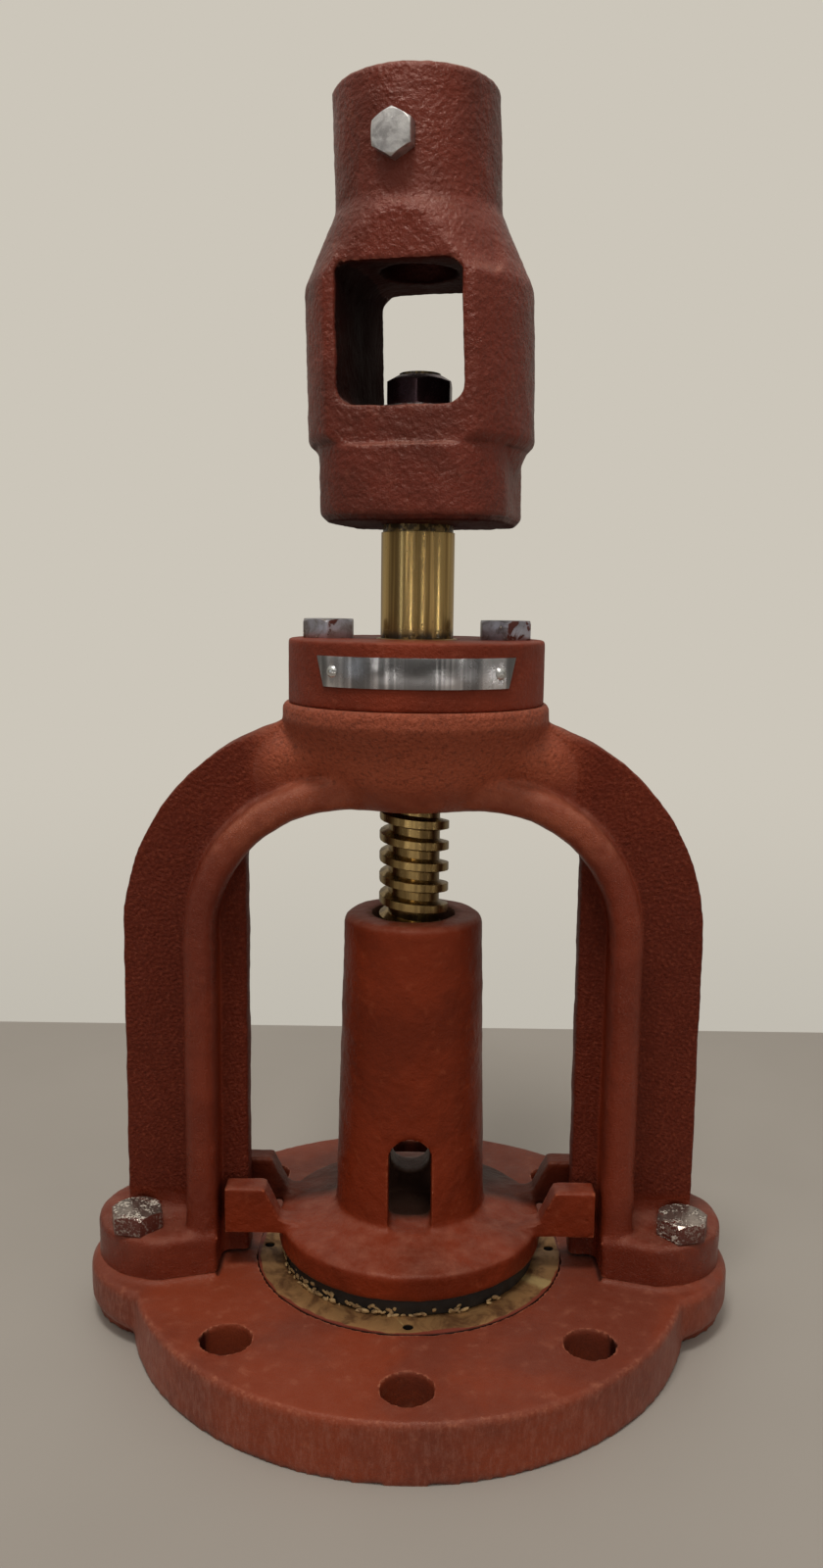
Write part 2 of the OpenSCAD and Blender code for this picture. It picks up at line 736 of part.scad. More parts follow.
module plug_nut() {
    color(bronze) translate([0, 0, tube_z - plug_nut_drop - plug_nut_h]) difference() {
        cylinder(d = plug_nut_d, h = plug_nut_h);
        translate([0, 0, -cut]) cylinder(d = thread_d + 2 * screw_fit, h = plug_nut_h + 2 * cut);
    }
}

module plug_seal() {
    color([0.1, 0.1, 0.1]) translate([0, 0, seat_z]) difference() {
        cylinder(d = seal_d, h = seal_t);
        translate([0, 0, -cut]) cylinder(d = seal_in_d, h = seal_t + 2 * cut);
    }
}

// ---- The assembly ----

base_flange();
seat_ring();
yoke();
stem_cap();
cap_bushing();
nameplate();
nameplate_rivet(-1);  // nameplate_rivet_left
nameplate_rivet(1);  // nameplate_rivet_right
cap_bolt(-1);  // cap_bolt_left
cap_bolt(1);  // cap_bolt_right
foot_bolt(-1, -1);  // foot_bolt_front_left
foot_bolt(1, -1);  // foot_bolt_front_right
foot_bolt(-1, 1);  // foot_bolt_back_left
foot_bolt(1, 1);  // foot_bolt_back_right
stem();
coupling();
coupling_set_bolt();
stem_end_washer();
stem_end_nut();
plug();
plug_nut();
plug_seal();
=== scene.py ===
import math
import random
import bpy
from mathutils import Matrix, Vector


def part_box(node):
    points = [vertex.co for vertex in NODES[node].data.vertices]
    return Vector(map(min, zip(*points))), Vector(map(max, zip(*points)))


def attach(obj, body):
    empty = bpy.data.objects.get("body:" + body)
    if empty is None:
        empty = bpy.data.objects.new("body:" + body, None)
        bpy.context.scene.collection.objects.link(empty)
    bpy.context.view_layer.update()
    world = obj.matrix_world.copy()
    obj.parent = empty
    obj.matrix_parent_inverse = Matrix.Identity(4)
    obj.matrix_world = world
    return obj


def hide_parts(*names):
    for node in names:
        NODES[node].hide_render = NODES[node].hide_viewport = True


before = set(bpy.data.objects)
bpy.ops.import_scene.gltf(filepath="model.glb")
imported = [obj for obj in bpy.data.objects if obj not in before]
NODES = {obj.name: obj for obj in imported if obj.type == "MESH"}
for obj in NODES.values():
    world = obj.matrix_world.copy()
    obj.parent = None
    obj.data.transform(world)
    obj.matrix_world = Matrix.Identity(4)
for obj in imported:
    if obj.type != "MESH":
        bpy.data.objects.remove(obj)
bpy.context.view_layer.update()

# A flanged mud valve in red primer. Metres, +Z up, front towards -Y.
MM = 0.001


# ---------- handling ----------

def only(piece):
    """Selects one piece and makes it the active one."""
    bpy.ops.object.select_all(action="DESELECT")
    piece.select_set(True)
    bpy.context.view_layer.objects.active = piece


def worked(piece, kind, **settings):
    """Adds a modifier with these settings and applies it."""
    only(piece)
    step = piece.modifiers.new(kind.lower(), kind)
    for key, value in settings.items():
        setattr(step, key, value)
    bpy.ops.object.modifier_apply(modifier=step.name)
    return piece


def copy_of(node, name):
    """A new piece with a copy of a CAD node's mesh, its doubled points merged."""
    piece = bpy.data.objects.new(name, NODES[node].data.copy())
    piece.data.materials.clear()
    bpy.context.scene.collection.objects.link(piece)
    only(piece)
    bpy.ops.object.mode_set(mode="EDIT")
    bpy.ops.mesh.select_all(action="SELECT")
    bpy.ops.mesh.remove_doubles(threshold=0.004 * MM)
    bpy.ops.mesh.customdata_custom_splitnormals_clear()
    bpy.ops.object.mode_set(mode="OBJECT")
    return piece


def settle(piece):
    """Moves a piece's place, turn and size into its mesh."""
    only(piece)
    bpy.ops.object.transform_apply(location=True, rotation=True, scale=True)
    return piece


def joined(first, *others):
    """Joins the others into the first piece."""
    bpy.ops.object.select_all(action="DESELECT")
    for piece in (first, *others):
        piece.select_set(True)
    bpy.context.view_layer.objects.active = first
    bpy.ops.object.join()
    return first


def smooth(piece, angle):
    """Shades a piece smooth, apart from edges sharper than an angle in degrees."""
    only(piece)
    bpy.ops.object.shade_smooth_by_angle(angle=math.radians(angle))
    return piece


def done(piece, body, slot, material, *nodes):
    """Gives a piece its finish and body, and lets it stand for its CAD nodes. Its slot is not used."""
    piece.data.materials.clear()
    piece.data.materials.append(material)
    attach(piece, body)
    if nodes:
        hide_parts(*nodes)
    return piece


def second_finish(piece, material, chosen):
    """Gives the chosen faces of a piece another finish."""
    piece.data.materials.append(material)
    for face in piece.data.polygons:
        if chosen(face):
            face.material_index = 1
    return piece


INWARD_TURN, DOWN_TURN = -0.4, -0.8         # a face looks to the axis, or down, if it turns below these
WEB_FACE, FEET_TOP = 7.75 * MM, 50 * MM     # how far the yoke's web stands out, and where it begins


def in_bore(reach):
    """Chooses the faces within a reach of the axis that look towards it, or steeply down."""
    def chosen(face):
        x, y, _ = face.center
        out = math.hypot(x, y)
        inward = x * face.normal.x + y * face.normal.y < INWARD_TURN * out
        return out < reach and (inward or face.normal.z < DOWN_TURN)
    return chosen


def on_web(face):
    """Chooses the faces of the yoke's web, above its feet."""
    return abs(face.center.y) < WEB_FACE and face.center.z > FEET_TOP


# ---------- the camera ----------

EYE = (0.0004, -0.4923, 0.295)
PAN, TILT, ROLL = 0.208, 81.523, 0.706      # degrees
LENS, SENSOR_HEIGHT = 28.54, 36             # millimetres


def camera():
    lens = bpy.data.cameras.new("camera")
    lens.sensor_fit = "VERTICAL"
    lens.sensor_height = SENSOR_HEIGHT
    lens.lens = LENS
    lens.clip_start = 0.01
    eye = bpy.data.objects.new("camera", lens)
    bpy.context.scene.collection.objects.link(eye)
    pan = Matrix.Rotation(math.radians(PAN), 4, "Z")
    tilt = Matrix.Rotation(math.radians(TILT), 4, "X")
    roll = Matrix.Rotation(math.radians(ROLL), 4, "Z")
    eye.matrix_world = Matrix.Translation(EYE) @ pan @ tilt @ roll
    bpy.context.scene.camera = eye


camera()


# ---------- node helpers for materials ----------

class Nodes:
    """Adds nodes to one tree and links them by socket name."""

    def __init__(self, tree):
        self.tree = tree

    def link_or_set(self, socket, value):
        if isinstance(value, bpy.types.NodeSocket):
            self.tree.links.new(value, socket)
        else:
            socket.default_value = value

    def add(self, kind, settings=None, **inputs):
        """A new node. An input goes by its name, or by i and its number."""
        node = self.tree.nodes.new(kind)
        for key, value in (settings or {}).items():
            setattr(node, key, value)
        for key, value in inputs.items():
            name = key.replace("_", " ")
            numbered = name[0] == "i" and name[1:].isdigit()
            self.link_or_set(node.inputs[int(name[1:]) if numbered else name], value)
        return node

    def math(self, operation, a, b=0.0):
        return self.add("ShaderNodeMath", {"operation": operation}, i0=a, i1=b).outputs[0]

    def plus(self, a, b):
        return self.math("ADD", a, b)

    def minus(self, a, b):
        return self.math("SUBTRACT", a, b)

    def times(self, a, b):
        return self.math("MULTIPLY", a, b)

    def larger(self, a, b):
        return self.math("MAXIMUM", a, b)

    def span(self, value, low, high, to_low=0.0, to_high=1.0):
        """Maps a value's range smoothly to another and holds it there."""
        return self.add("ShaderNodeMapRange", {"interpolation_type": "SMOOTHSTEP"}, Value=value,
                        From_Min=low, From_Max=high, To_Min=to_low, To_Max=to_high).outputs[0]

    def mixed(self, share, a, b):
        """The colour a share of the way from one to another."""
        return self.add("ShaderNodeMix", {"data_type": "RGBA"}, i0=share, i6=a, i7=b).outputs[2]

    def split(self, vector):
        """A vector's X, Y and Z."""
        return self.add("ShaderNodeSeparateXYZ", Vector=vector).outputs

    def scaled(self, place, *scale):
        """A place scaled along each axis; a pattern grows long where the scale is small."""
        return self.add("ShaderNodeMapping", Vector=place, Scale=scale).outputs[0]

    def noise(self, place, scale, detail=4.0, rough=0.55, twist=0.0):
        return self.add("ShaderNodeTexNoise", Vector=place, Scale=scale, Detail=detail,
                        Roughness=rough, Distortion=twist).outputs["Fac"]

    def cells(self, place, scale, feature="F1"):
        return self.add("ShaderNodeTexVoronoi", {"feature": feature}, Vector=place,
                        Scale=scale).outputs["Distance"]

    def bump(self, strength, depth, height):
        """A normal from a height, for relief this many millimetres deep."""
        return self.add("ShaderNodeBump", Strength=strength, Distance=depth * MM,
                        Height=height).outputs["Normal"]


def paint(red, green, blue):
    """A colour given as it looks on a screen, 0 to 255."""
    def linear(value):
        value /= 255
        return value / 12.92 if value <= 0.04045 else ((value + 0.055) / 1.055) ** 2.4
    return (linear(red), linear(green), linear(blue), 1.0)


def shaded(colour, share):
    """A darker colour from one given as three numbers from 0 to 255."""
    return paint(*[share * part for part in colour])


def group(name, inputs, outputs):
    """An empty shader group; returns it with its node adder, its inputs and its output node."""
    tree = bpy.data.node_groups.new(name, "ShaderNodeTree")
    for label, kind, value in inputs:
        socket = tree.interface.new_socket(label, in_out="INPUT", socket_type=kind)
        if value is not None:
            socket.default_value = value
    for label, kind in outputs:
        tree.interface.new_socket(label, in_out="OUTPUT", socket_type=kind)
    make = Nodes(tree)
    return tree, make, make.add("NodeGroupInput").outputs, make.add("NodeGroupOutput").inputs


FLOAT, VECTOR = "NodeSocketFloat", "NodeSocketVector"


def edge_wear_group():
    """How worn a place is: high on convex edges, broken up by noise. Hollow is high in corners."""
    tree, make, given, result = group(
        "edge wear",
        [("Place", VECTOR, None), ("Scale", FLOAT, 300.0), ("Start", FLOAT, 0.54), ("Reach", FLOAT, 0.06)],
        [("Worn", FLOAT), ("Hollow", FLOAT)])
    sharp = make.add("ShaderNodeNewGeometry").outputs["Pointiness"]
    broken = make.noise(given["Place"], given["Scale"], 5.0, 0.65)
    shifted = make.plus(sharp, make.times(make.minus(broken, 0.5), 0.10))
    full = make.plus(given["Start"], given["Reach"])
    make.link_or_set(result["Worn"], make.span(shifted, given["Start"], full))
    make.link_or_set(result["Hollow"], make.span(sharp, 0.47, 0.40))
    return tree


def cast_grain_group():
    """Height of painted sand casting: coarse orange peel, fine grain and a few pits."""
    tree, make, given, result = group(
        "cast grain",
        [("Place", VECTOR, None), ("Peel Size", FLOAT, 1.0), ("Peel", FLOAT, 1.0), ("Grain", FLOAT, 0.4),
         ("Pits", FLOAT, 0.3)],
        [("Height", FLOAT)])
    place = given["Place"]
    size = make.math("DIVIDE", 1.0, given["Peel Size"])
    peel = make.noise(place, make.times(size, 420.0), 3.0, 0.5, 0.3)
    peel_cells = make.cells(place, make.times(size, 520.0), "SMOOTH_F1")
    grain = make.noise(place, make.times(size, 1700.0), 3.0, 0.6)
    pits = make.span(make.cells(place, make.times(size, 150.0)), 0.0, 0.12, -1.0, 0.0)
    height = make.times(make.plus(peel, make.times(peel_cells, 0.5)), given["Peel"])
    height = make.plus(height, make.times(grain, given["Grain"]))
    height = make.plus(height, make.times(pits, given["Pits"]))
    make.link_or_set(result["Height"], height)
    return tree


def inward_group():
    """Where a surface faces the stem's axis, down or up, and how far out from the axis it lies."""
    tree, make, given, result = group(
        "inward", [("Place", VECTOR, None), ("Facing", VECTOR, None)],
        [("Inside", FLOAT), ("Under", FLOAT), ("Top", FLOAT), ("Reach", FLOAT)])

    def vector(operation, *values):
        inputs = {"i%d" % number: value for number, value in enumerate(values)}
        return make.add("ShaderNodeVectorMath", {"operation": operation}, **inputs).outputs

    level = vector("MULTIPLY", given["Place"], (1, 1, 0))[0]
    outward = vector("NORMALIZE", level)[0]
    along = vector("DOT_PRODUCT", outward, given["Facing"])["Value"]
    rise = make.split(given["Facing"])["Z"]
    make.link_or_set(result["Inside"], make.span(along, -0.15, -0.5))
    make.link_or_set(result["Under"], make.span(rise, -0.5, -0.85))
    make.link_or_set(result["Top"], make.span(rise, 0.25, 0.75))
    make.link_or_set(result["Reach"], vector("LENGTH", level)["Value"])
    return tree


EDGE_WEAR = edge_wear_group()
INWARD = inward_group()
CAST_GRAIN = cast_grain_group()


def new_material(name):
    """A material with its node adder, its Principled shader and the object coordinates."""
    material = bpy.data.materials.new(name)
    material.use_nodes = True
    make = Nodes(material.node_tree)
    shader = material.node_tree.nodes["Principled BSDF"]
    place = make.add("ShaderNodeTexCoord").outputs["Object"]
    return material, make, shader, place


def feed(make, shader, **sockets):
    """Links or sets the shader's sockets by name."""
    for key, value in sockets.items():
        make.link_or_set(shader.inputs[key.replace("_", " ")], value)


def use(make, tree, **inputs):
    """The outputs of a shader group put to use."""
    return make.add("ShaderNodeGroup", {"node_tree": tree}, **inputs).outputs


# ---------- colours ----------

# Painted shade for faces that look inwards or down, as in holes and the coupling's window.
INNER_SHADE = paint(30, 8, 6)
# The first two colours are painted shade for hollows and for corners and gaps between parts; the third
# darkens the plug's rear.
HOLLOW_SHADE, OCCLUDED_SHADE, DARK_BEHIND = paint(44, 15, 10), paint(40, 14, 9), paint(44, 18, 12)
# The second colour is dust on the tops and painted light there too.
DUST_FILM, DUST_AND_TOP_LIGHT = paint(168, 114, 98), paint(186, 134, 114)
# Worn paint with a painted highlight along an upper rim.
RUBBED_AND_LIT_RIM = paint(206, 158, 132)
# The web's darker paint with painted shade, painted light on the hub and a painted highlight on the crown.
WEB_BROWN_AND_SHADE, HUB_PAINTED_LIGHT, CROWN_HIGHLIGHT = paint(90, 31, 18), paint(182, 92, 62), paint(166, 88, 60)
DARK_SPECK, PALE_SPECK = paint(58, 18, 11), paint(186, 100, 72)
BRONZE_EDGE, THREAD_DULL, OLD_GREASE = paint(232, 205, 140), paint(62, 46, 27), paint(38, 30, 18)
# The second colour is painted shade for holes.
LAPPED_PRIMER, HOLE_SHADE = paint(112, 44, 26), paint(16, 11, 8)
# The first colour is painted shade in the hollows of plated bolts.
ZINC_HOLLOW_SHADE, ZINC_FLECK = paint(34, 28, 27), paint(214, 204, 190)
BOLT_PRIMER, BOLT_PRIMER_DEEP = paint(98, 38, 24), paint(70, 30, 22)
RUBBER, RUBBER_BLOOM = paint(10, 9, 9), paint(34, 30, 28)
FLAKE, FLAKE_DEEP = paint(176, 146, 100), paint(120, 92, 60)


# ---------- red primer ----------

# Where the yoke's painted shade on the web, painted light on the hub and painted highlight on the crown begin
# and where they are full: off its middle plane, up, or out from the axis.
WEB_OFF, WEB_UP = (8.5 * MM, 7.0 * MM), (48 * MM, 54 * MM)
HUB_OUT, HUB_UP = (70 * MM, 50 * MM), (218 * MM, 228 * MM)
CROWN_OFF, CROWN_UP = (10 * MM, 16 * MM), (185 * MM, 212 * MM)
WEB_FADE, HUB_FADE = (234 * MM, 175 * MM), (245 * MM, 230 * MM)

# The radii over which the dust film on the base's rim begins, and where it gets thicker along X.
RIM_OUT, DUSTY_SIDE = (109 * MM, 111 * MM), (-20 * MM, -90 * MM)

# Where the plug's rear begins to darken along Y, and where that fades again.
BEHIND, FAR_BEHIND = (-2 * MM, 8 * MM), (52 * MM, 34 * MM)


def yoke_sand_and_painted_light(make, place, at, reach, mottle, colour):
    """The yoke's web in its darker paint with painted shade, its hub paler with painted light and its crown
    with a painted highlight; returns the colour, and where web and hub are.
    """
    off = make.math("ABSOLUTE", at["Y"])
    web = make.times(make.span(off, *WEB_OFF), make.span(at["Z"], *WEB_UP))
    hub = make.times(make.span(at["Z"], *HUB_UP), make.span(reach, *HUB_OUT))
    crown = make.times(make.span(at["Z"], *CROWN_UP), make.span(off, *CROWN_OFF))
    crown = make.times(crown, make.minus(1.0, hub))
    # Painted shade on the web, stronger lower down, and painted light on the hub, weaker near its top.
    colour = make.mixed(make.times(web, make.span(at["Z"], *WEB_FADE, 0.4, 0.8)), colour, WEB_BROWN_AND_SHADE)
    colour = make.mixed(make.times(hub, make.span(at["Z"], *HUB_FADE, 0.5, 0.8)), colour, HUB_PAINTED_LIGHT)
    # Painted highlight on the crown, broken up by the mottle.
    colour = make.mixed(make.times(crown, make.span(mottle, 0.35, 0.65, 0.3, 0.6)), colour, CROWN_HIGHLIGHT)
    coarse = make.larger(make.times(web, 0.55), hub)
    speck = make.noise(place, 640.0, 3.0, 0.6, 0.2)
    colour = make.mixed(make.times(coarse, make.span(speck, 0.50, 0.68, 0.0, 0.45)), colour, DARK_SPECK)
    colour = make.mixed(make.times(coarse, make.span(speck, 0.48, 0.32, 0.0, 0.26)), colour, PALE_SPECK)
    return colour, web, hub


def dust_film(make, place, at, turn, dust):
    """Where dust clings to the sides of the base's rim, in upright streaks."""
    streaky = make.scaled(place, 1.0, 1.0, 0.3)
    film = make.times(make.span(make.noise(streaky, 520.0, 6.0, 0.8), 0.40, 0.75), dust)
    film = make.times(film, make.minus(1.0, turn["Top"]))
    film = make.times(film, make.span(turn["Reach"], *RIM_OUT))
    return make.times(film, make.span(at["X"], *DUSTY_SIDE, 0.6, 0.9))


def red_primer(name, base, deep, worn, rough=0.42, peel=1.0, peel_size=1.0, grain=0.4, depth=0.35, dust=0.0,
               inner_shade=0.5, inner_shade_reach=1.0, sandy_and_painted_light=False, dark_rim_band=None, hollow_shade=0.75, gleam=0.32, top_dust_and_light=0.5,
               edges=0.545, bore=INNER_SHADE, dark_behind=None, worn_lit_rim=None):
    """Thick red oxide primer on a sand casting.

    peel, peel_size, grain and depth shape its relief, and edges is where it starts to wear off. dust is a
    film on the sides, top_dust_and_light is dust with painted light on the tops, and hollow_shade is painted
    shade in hollows and corners. inner_shade, of the colour bore, is painted shade on what faces inwards or
    down out to inner_shade_reach; in the plug's tube that colour is also its bare iron.
    sandy_and_painted_light gives the yoke its sand texture, painted shade on the web, painted light on the
    hub and a painted highlight on the crown. dark_rim_band is the radii of a dark ring on the tops,
    dark_behind the heights between which the rear is darker, and worn_lit_rim the height of an upper rim of
    worn paint with a painted highlight.
    """
    material, make, shader, place = new_material(name)
    facing = make.add("ShaderNodeTexCoord").outputs["Normal"]
    turn = use(make, INWARD, Place=place, Facing=facing)
    at = make.split(place)
    wear = use(make, EDGE_WEAR, Place=place, Scale=420.0, Start=edges, Reach=0.05)
    patches = make.noise(place, 18.0, 5.0, 0.6, 0.4)
    mottle = make.noise(place, 160.0, 4.0, 0.6)
    colour = make.mixed(make.span(patches, 0.40, 0.64), base, deep)
    colour = make.mixed(make.span(mottle, 0.56, 0.82, 0.0, 0.25), colour, worn)
    strength = peel
    if sandy_and_painted_light:
        colour, web, hub = yoke_sand_and_painted_light(make, place, at, turn["Reach"], mottle, colour)
        strength = make.times(peel, make.plus(0.3, make.times(make.plus(web, hub), 0.95)))
    if dust:
        colour = make.mixed(dust_film(make, place, at, turn, dust), colour, DUST_FILM)
    # Dust on upward faces, paler still as painted light on the lit tops.
    tops_dusted_and_lit = make.times(turn["Top"], make.span(mottle, 0.3, 0.7, 0.06 * top_dust_and_light, 0.24 * top_dust_and_light))
    colour = make.mixed(tops_dusted_and_lit, colour, DUST_AND_TOP_LIGHT)
    colour = make.mixed(make.times(wear["Worn"], 0.7), colour, worn)
    # Painted shade: hollows, and through ambient occlusion the corners and the gaps between parts, are
    # darkened.
    colour = make.mixed(make.times(wear["Hollow"], 0.8 * hollow_shade), colour, HOLLOW_SHADE)
    occlusion = make.add("ShaderNodeAmbientOcclusion", {"samples": 6}, Distance=7 * MM).outputs["AO"]
    occluded_shade = make.span(occlusion, 0.62, 0.1, 0.0, hollow_shade)
    if sandy_and_painted_light:
        occluded_shade = make.times(occluded_shade, make.minus(1.0, make.times(hub, 0.85)))
    colour = make.mixed(occluded_shade, colour, OCCLUDED_SHADE)
    # The plug gets darker behind its tube, low down.
    if dark_behind:
        low, high = dark_behind
        darker_behind = make.times(make.span(at["Y"], *BEHIND), make.span(at["Z"], high, low))
        darker_behind = make.times(darker_behind, make.span(at["Y"], *FAR_BEHIND, 0.15, 1.0))
        darker_behind = make.times(darker_behind, make.span(patches, 0.34, 0.56, 0.7, 0.92))
        colour = make.mixed(darker_behind, colour, DARK_BEHIND)
    # A pale band under the top edge: worn paint and a painted highlight.
    if worn_lit_rim:
        near_top = make.span(at["Z"], worn_lit_rim - 1.3 * MM, worn_lit_rim - 0.3 * MM)
        rubbed_and_lit = make.times(near_top, make.span(mottle, 0.35, 0.6, 0.25, 0.8))
        rubbed_and_lit = make.times(rubbed_and_lit, make.minus(1.0, make.times(turn["Top"], 0.92)))
        colour = make.mixed(rubbed_and_lit, colour, RUBBED_AND_LIT_RIM)
    # Painted shade on faces that look inwards or down, out to the given reach.
    dark = make.times(make.larger(turn["Inside"], make.times(turn["Under"], 0.8)), inner_shade)
    dark = make.times(dark, make.span(turn["Reach"], inner_shade_reach + 2 * MM, inner_shade_reach))
    # A dark ring on the upward faces between two radii.
    if dark_rim_band:
        inner, outer = dark_rim_band
        ragged = make.plus(turn["Reach"], make.times(make.minus(mottle, 0.5), 6 * MM))
        band = make.times(make.span(ragged, outer, inner), turn["Top"])
        dark = make.larger(dark, make.times(band, 0.85))
    colour = make.mixed(dark, colour, bore)
    relief = use(make, CAST_GRAIN, Place=place, Peel_Size=peel_size, Peel=strength, Grain=grain, Pits=0.3)
    gloss = make.plus(make.span(make.noise(place, 70.0, 4.0), 0.3, 0.7, -0.07, 0.09),
                      make.plus(rough, make.times(dark, 0.5)))
    if sandy_and_painted_light:
        gloss = make.plus(gloss, make.times(make.larger(web, hub), 0.2))
    feed(make, shader, Base_Color=colour, Roughness=gloss, Normal=make.bump(0.9, depth, relief["Height"]))
    shader.inputs["Specular IOR Level"].default_value = gleam
    shader.inputs["Specular Tint"].default_value = (1.0, 0.78, 0.68, 1.0)
    return material


# ---------- metals and rubber ----------

def bronze(name, bright, dull, dark, rough=0.26, reflection_streaks=0.0, rings=0.0, painted_from=0.0, foul=None,
           scratch=0.12, metal=0.95, holes_below=None):
    """Turned bronze with tarnish, streaked along Z with painted reflections, or ringed round it.

    Primer laps over it beyond the radius painted_from, and painted shade darkens the holes that sink below
    holes_below. foul is the two heights between which a stem is bare: dirty at both, dull below them.
    """
    material, make, shader, place = new_material(name)
    upright = make.scaled(place, 1.0, 1.0, 0.02)
    level = make.split(place)["Z"]
    # Tarnish; on a streaked stem it runs in upright stripes that also stand for painted reflection.
    tarnish_and_bands = make.noise(upright, 150.0, 3.0, 0.6) if reflection_streaks else make.noise(place, 90.0, 5.0, 0.65, 0.6)
    colour = make.mixed(make.span(tarnish_and_bands, 0.40, 0.68), bright, dull)
    height = make.noise(place, 900.0, 3.0, 0.6)
    # Upright dark stripes of painted reflection.
    if reflection_streaks:
        reflection_streak = make.noise(upright, 420.0, 4.0, 0.6)
        colour = make.mixed(make.times(make.span(reflection_streak, 0.46, 0.66), reflection_streaks), colour, dark)
        height = make.plus(height, make.times(reflection_streak, 1.2))
    if rings:
        ring = make.noise(make.scaled(place, 0.02, 0.02, 1.0), 2600.0, 3.0, 0.6)
        height = make.plus(height, make.times(ring, rings))
    spots = make.span(make.cells(place, 330.0), 0.05, 0.16, 1.0, 0.0)
    spots = make.times(spots, make.span(make.noise(place, 160.0), 0.50, 0.62))
    colour = make.mixed(make.times(spots, 0.8), colour, dark)
    wear = use(make, EDGE_WEAR, Place=place, Scale=500.0, Start=0.55, Reach=0.1)
    colour = make.mixed(make.times(wear["Worn"], 0.6), colour, BRONZE_EDGE)
    colour = make.mixed(make.times(wear["Hollow"], 0.8), colour, dark)
    if painted_from:
        reach = use(make, INWARD, Place=place, Facing=(0, 0, 1))["Reach"]
        waver = make.times(make.minus(make.noise(place, 45.0, 4.0), 0.5), 7 * MM)
        lapped = make.span(make.plus(reach, waver), painted_from, painted_from + 0.6 * MM)
        colour = make.mixed(lapped, colour, LAPPED_PRIMER)
        spots = make.larger(spots, lapped)
    # Painted shade in the holes.
    if holes_below:
        sunk_shade = make.span(level, holes_below - 0.2 * MM, holes_below - 0.7 * MM)
        colour = make.mixed(sunk_shade, colour, HOLE_SHADE)
        spots = make.larger(spots, sunk_shade)
    if foul:
        low, high = foul
        colour = make.mixed(make.span(level, low - 3 * MM, low - 8 * MM, 0.0, 0.55), colour, THREAD_DULL)
        low_end = make.span(level, low + 5 * MM, low + 1 * MM)
        low_end = make.times(low_end, make.span(level, low - 1 * MM, low))
        ends = make.larger(low_end, make.span(level, high - 3.5 * MM, high - 2.5 * MM))
        dirt = make.times(ends, make.span(make.noise(place, 380.0, 4.0, 0.7), 0.38, 0.52, 0.3, 0.95))
        colour = make.mixed(dirt, colour, OLD_GREASE)
        spots = make.larger(spots, dirt)
    feed(make, shader, Base_Color=colour, Roughness=make.span(tarnish_and_bands, 0.3, 0.75, rough, rough + 0.2),
         Metallic=make.minus(metal, make.times(spots, 0.95 * metal)), Normal=make.bump(0.25, scratch, height))
    return material


def zinc(name, paint_left, flecks=0.0, tint=(176, 174, 172), shade=(104, 98, 98), side=0.0, skirt=0.12):
    """Zinc-plated steel with some red primer left on it, and pale flecks where that wore through.

    skirt puts more of the primer on the sides and side more of it towards +X; the flecks keep to what
    faces up, down or away from +X.
    """
    material, make, shader, place = new_material(name)
    turn = make.split(make.add("ShaderNodeTexCoord").outputs["Normal"])
    rise = make.math("ABSOLUTE", turn["Z"])
    blotch = make.noise(place, 190.0, 5.0, 0.65, 0.6)
    fine = make.noise(place, 1100.0, 4.0, 0.7)
    wear = use(make, EDGE_WEAR, Place=place, Scale=900.0, Start=0.53, Reach=0.08)
    grey = make.mixed(make.span(blotch, 0.35, 0.68), paint(*tint), paint(*shade))
    # Painted shade in the hollows.
    grey = make.mixed(make.times(wear["Hollow"], 0.7), grey, ZINC_HOLLOW_SHADE)
    kept = pale = 0.0
    if paint_left:
        cover = make.plus(blotch, make.times(make.span(rise, 0.8, 0.3), skirt))
        cover = make.plus(make.minus(cover, make.times(wear["Worn"], 0.2)), make.times(turn["X"], side))
        kept = make.span(cover, 0.72 - 0.3 * paint_left, 0.75 - 0.3 * paint_left)
    if flecks:
        pale = make.plus(make.times(fine, 0.6), make.times(blotch, 0.5))
        pale = make.span(pale, 0.66 - 0.16 * flecks, 0.70 - 0.16 * flecks)
        pale = make.times(pale, make.span(make.minus(rise, turn["X"]), 0.2, 0.6, 0.25, 1.0))
    colour = make.mixed(kept, grey, make.mixed(fine, BOLT_PRIMER, BOLT_PRIMER_DEEP))
    colour = make.mixed(pale, colour, ZINC_FLECK)
    relief = make.plus(fine, make.times(make.plus(kept, pale), 1.2))
    dull = make.larger(kept, pale)
    feed(make, shader, Base_Color=colour, Roughness=make.plus(0.30, make.times(dull, 0.22)),
         Metallic=make.minus(0.9, make.times(dull, 0.85)), Normal=make.bump(0.5, 0.2, relief))
    return material


def plain_metal(name, colour, rough, brush=0.0, reflection_bands=0.0):
    """Smooth metal, brushed in level lines and crossed by upright dark stripes of painted reflection if
    asked.
    """
    material, make, shader, place = new_material(name)
    smear = make.noise(place, 120.0, 4.0, 0.6)
    tone = make.mixed(make.span(smear, 0.35, 0.7, 0.0, 0.35), paint(*colour), shaded(colour, 0.72))
    # Upright dark stripes of painted reflection.
    if reflection_bands:
        band = make.noise(make.scaled(place, 1.0, 1.0, 0.02), 130.0, 3.0, 0.6)
        tone = make.mixed(make.span(band, 0.42, 0.58, 0.0, reflection_bands), tone, shaded(colour, 0.42))
    lines = make.noise(make.scaled(place, 0.03, 0.03, 1.0), 3500.0, 2.0, 0.5)
    feed(make, shader, Base_Color=tone, Metallic=1.0, Normal=make.bump(brush, 0.02, lines),
         Roughness=make.span(smear, 0.3, 0.7, rough, rough + 0.1))
    return material


